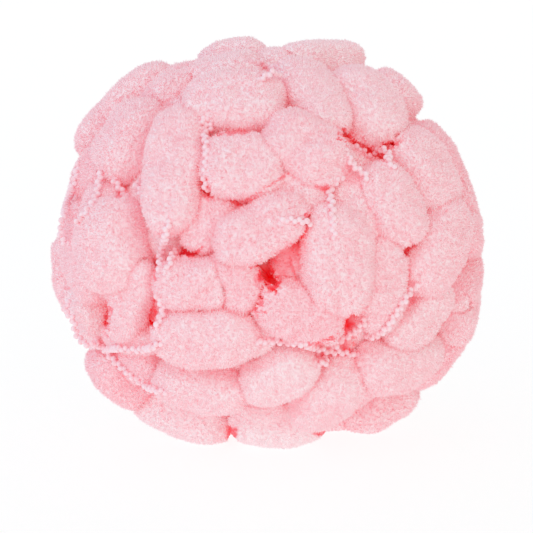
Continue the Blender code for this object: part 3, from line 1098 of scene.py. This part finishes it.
def with_sunk_ends(laid):
    """The route with both ends turned down into the ball."""
    sunk = []
    for route in (laid, laid[::-1]):
        end = route[0]
        onward = (end - route[min(END_SPAN, len(route) - 1)]).normalized() * YARN_LIFT
        down = -shell_normal(end) * YARN_END_DEPTH
        sunk.append([end + onward * ahead + down * deep for ahead, deep in END_STEPS])
    first, last = sunk
    return smooth_route(first[::-1] + laid[::KEPT_EVERY] + [laid[-1]] + last, RING_GAP)


def joined_routes(rolls, surface):
    """Yarn from the end of one pompom to the end of another, over the sides, back, top and underside."""
    tips = []
    for i, roll in enumerate(rolls):
        if turned_away(Vector(roll.middle)) > YARN_BEHIND_FROM:
            tips += [(i, Vector(tip)) for tip in roll.tips()]
    pairs = []
    for k, (i, tip) in enumerate(tips):
        for other, far_tip in tips[k + 1:]:
            if i != other and JOINED_APART[0] < (tip - far_tip).length < JOINED_APART[1]:
                pairs.append((tip, far_tip))
    random.Random(JOINED_SEED).shuffle(pairs)
    routes, used = [], []
    for tip, far_tip in pairs:
        middle = (tip + far_tip) / 2
        alone = all((middle - other).length >= JOINED_APART[0] * JOINED_ROOM for other in used)
        if alone and len(routes) < JOINED_YARNS:
            used.append(middle)
            routes.append(route_between(tip, far_tip, surface))
    return routes


def route_between(tip, far_tip, surface):
    """A yarn over the surface from one pompom's end to another's."""
    count = max(LEAST_STEPS, math.ceil((tip - far_tip).length / RING_GAP))
    spots, heights = [], []
    for k in range(count + 1):
        spot = onto_shell(tip.lerp(far_tip, k / count))
        out = shell_normal(spot)
        hit, _, _, reach = surface.ray_cast(spot + out * ABOVE_ALL, -out)
        spots.append((spot, out))
        heights.append(ABOVE_ALL - reach if hit else 0.0)
    heights = taut_heights(heights)
    laid = [spot + out * (height + YARN_LIFT) for (spot, out), height in zip(spots, heights)]
    return with_sunk_ends(laid)


def beads_along(route, rounds, in_front, dice):
    """Beads on the two sides of a route in turn, evenly spaced as they are seen: points and triangles."""
    ball, faces = bead(rounds)
    made = []
    last = route[0]
    for before, spot, after in zip(route, route[1:], route[2:]):
        out = (VIEWPOINT - spot).normalized() if in_front else shell_normal(spot)
        step = spot - last
        if (step - out * step.dot(out)).length < BEAD_GAP and step.length < BEAD_REACH:
            continue
        last = spot
        angle = math.pi * len(made) + dice.uniform(-BEAD_TILT, BEAD_TILT)
        swing = (after - before).cross(out).normalized() * math.cos(angle) + out * math.sin(angle)
        middle = np.array(spot + swing * BEAD_SIDE)
        middle[2] = max(middle[2], BEAD_RADIUS * (1 + BEAD_CHANGE))
        radius = BEAD_RADIUS * dice.uniform(1 - BEAD_CHANGE, 1 + BEAD_CHANGE)
        made.append((middle + ball * radius, faces))
    return joined(made)


def make_yarns(name, routes, rounds, in_front, material):
    """All the twisted yarns of a group as one piece."""
    dice = random.Random(name)
    strands = [beads_along(route, rounds, in_front, dice) for route in routes]
    dress(mesh_object(name, *joined(strands), {}, material, smooth=True))


def add_camera():
    aim = BALL_CENTRE + RIGHT * AIM_ACROSS + UP * AIM_UP
    lens = bpy.data.cameras.new("camera")
    lens.sensor_width = SENSOR
    lens.lens = SENSOR * VIEW_DISTANCE / FRAME_WIDTH
    lens.clip_start = NEAREST_SEEN
    camera = bpy.data.objects.new("camera", lens)
    camera.location = VIEWPOINT
    camera.rotation_euler = (aim - VIEWPOINT).to_track_quat("-Z", "Y").to_euler()
    bpy.context.scene.collection.objects.link(camera)
    bpy.context.scene.camera = camera


def add_floor():
    bpy.ops.mesh.primitive_plane_add(size=FLOOR_SIZE)
    floor = bpy.context.object
    floor.name = "floor"
    nodes = Nodes(bpy.data.materials.new("floor_white"))
    shader = nodes.tree.nodes["Principled BSDF"]
    shader.inputs["Base Color"].default_value = FLOOR_GREY
    shader.inputs["Roughness"].default_value = FLOOR_ROUGHNESS
    shader.inputs["Emission Color"].default_value = WHITE
    shader.inputs["Emission Strength"].default_value = FLOOR_GLOW
    floor.data.materials.append(nodes.owner)


def sky_light(nodes):
    """A light colour that changes with its direction, but is as strong from the back as from the sides."""
    front_half = nodes.add("ShaderNodeVectorMath", operation="MINIMUM")
    front_half.inputs[1].default_value = NO_FURTHER_BACK
    nodes.link(nodes.add("ShaderNodeTexCoord").outputs["Generated"], front_half.inputs[0])
    colour = nodes.add("ShaderNodeCombineColor")
    for channel, (mean, growth) in enumerate(SKY_LIGHT):
        share = nodes.add("ShaderNodeVectorMath", operation="DOT_PRODUCT")
        share.inputs[1].default_value = growth
        nodes.link(front_half.outputs["Vector"], share.inputs[0])
        total = nodes.add("ShaderNodeMath")
        total.inputs[1].default_value = mean
        nodes.link(share.outputs["Value"], total.inputs[0])
        nodes.link(total.outputs[0], colour.inputs[channel])
    return colour.outputs[0]


def add_studio():
    """Soft light from all round, and plain white behind."""
    scene = bpy.context.scene
    nodes = Nodes(bpy.data.worlds.new("studio"))
    light = nodes.tree.nodes["Background"]
    nodes.link(sky_light(nodes), light.inputs["Color"])
    backdrop = nodes.add("ShaderNodeBackground")
    backdrop.inputs["Color"].default_value = WHITE
    either = nodes.add("ShaderNodeMixShader")
    nodes.link(nodes.add("ShaderNodeLightPath").outputs["Is Camera Ray"], either.inputs[0])
    nodes.link(light.outputs[0], either.inputs[1])
    nodes.link(backdrop.outputs[0], either.inputs[2])
    nodes.link(either.outputs[0], nodes.tree.nodes["World Output"].inputs["Surface"])
    scene.world = nodes.owner
    scene.view_settings.view_transform = "Standard"
    scene.cycles.max_bounces = LIGHT_BOUNCES
    scene.cycles.diffuse_bounces = LIGHT_BOUNCES


def all_rolls():
    """Every pompom with its tint and painted light, and the number of the first one of the layer below."""
    front = [front_pompom(*row[1]) for row in FRONT_POMPOMS]
    fill = fill_pompoms(front)
    place, size = fill[SUNK_FILL]
    fill[SUNK_FILL] = Matrix.Translation(-shell_normal(place.translation) * SUNK_BY) @ place, size
    placed = moved_front(front) + fill + [front_pompom(*TOP_BETWEEN)]
    tints = [row[-1] for row in FRONT_POMPOMS] + [0] * len(fill) + [TOP_BETWEEN_PAINTED_LIGHT]
    first_under = len(placed)
    placed += under_pompoms(placed)
    placed.append(pit_floor())
    # The layer below is painted paler, as painted light where it lies in shade.
    tints += [UNDER_PAINTED_LIGHT] * (len(placed) - first_under)
    rolls = [Roll(settle(place, size), size, BODY_INSET) for place, size in placed]
    for roll, tint in zip(rolls, tints):
        roll.tint = MEAN_TINT + tint
    return rolls, first_under


def main():
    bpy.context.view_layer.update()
    add_camera()
    add_floor()
    add_studio()
    rolls, first_under = all_rolls()
    points, faces = make_pompoms(rolls, first_under, pile_material())
    # The core's deep reds are painted shade, where the inside of the ball lies in shade.
    make_core(mottled_material("core_painted_shade", CORE_NOISE, CORE_SHADE_COLOURS))
    surface = BVHTree.FromPolygons(points.tolist(), faces.tolist())
    yarn = mottled_material("pale_twist", YARN_NOISE, YARN_COLOURS)
    routes = [laid_route(*row, surface) for row in FRONT_YARNS]
    make_yarns("yarn_in_front", routes, BEAD_ROUNDS_IN_FRONT, True, yarn)
    make_yarns("yarn_behind", joined_routes(rolls, surface), BEAD_ROUNDS_BEHIND, False, yarn)


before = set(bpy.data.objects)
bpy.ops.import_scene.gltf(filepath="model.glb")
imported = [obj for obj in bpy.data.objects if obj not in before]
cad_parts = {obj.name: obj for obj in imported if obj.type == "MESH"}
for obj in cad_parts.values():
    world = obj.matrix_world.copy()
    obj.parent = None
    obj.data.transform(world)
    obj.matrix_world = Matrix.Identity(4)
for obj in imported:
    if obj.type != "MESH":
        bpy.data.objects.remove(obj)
main()
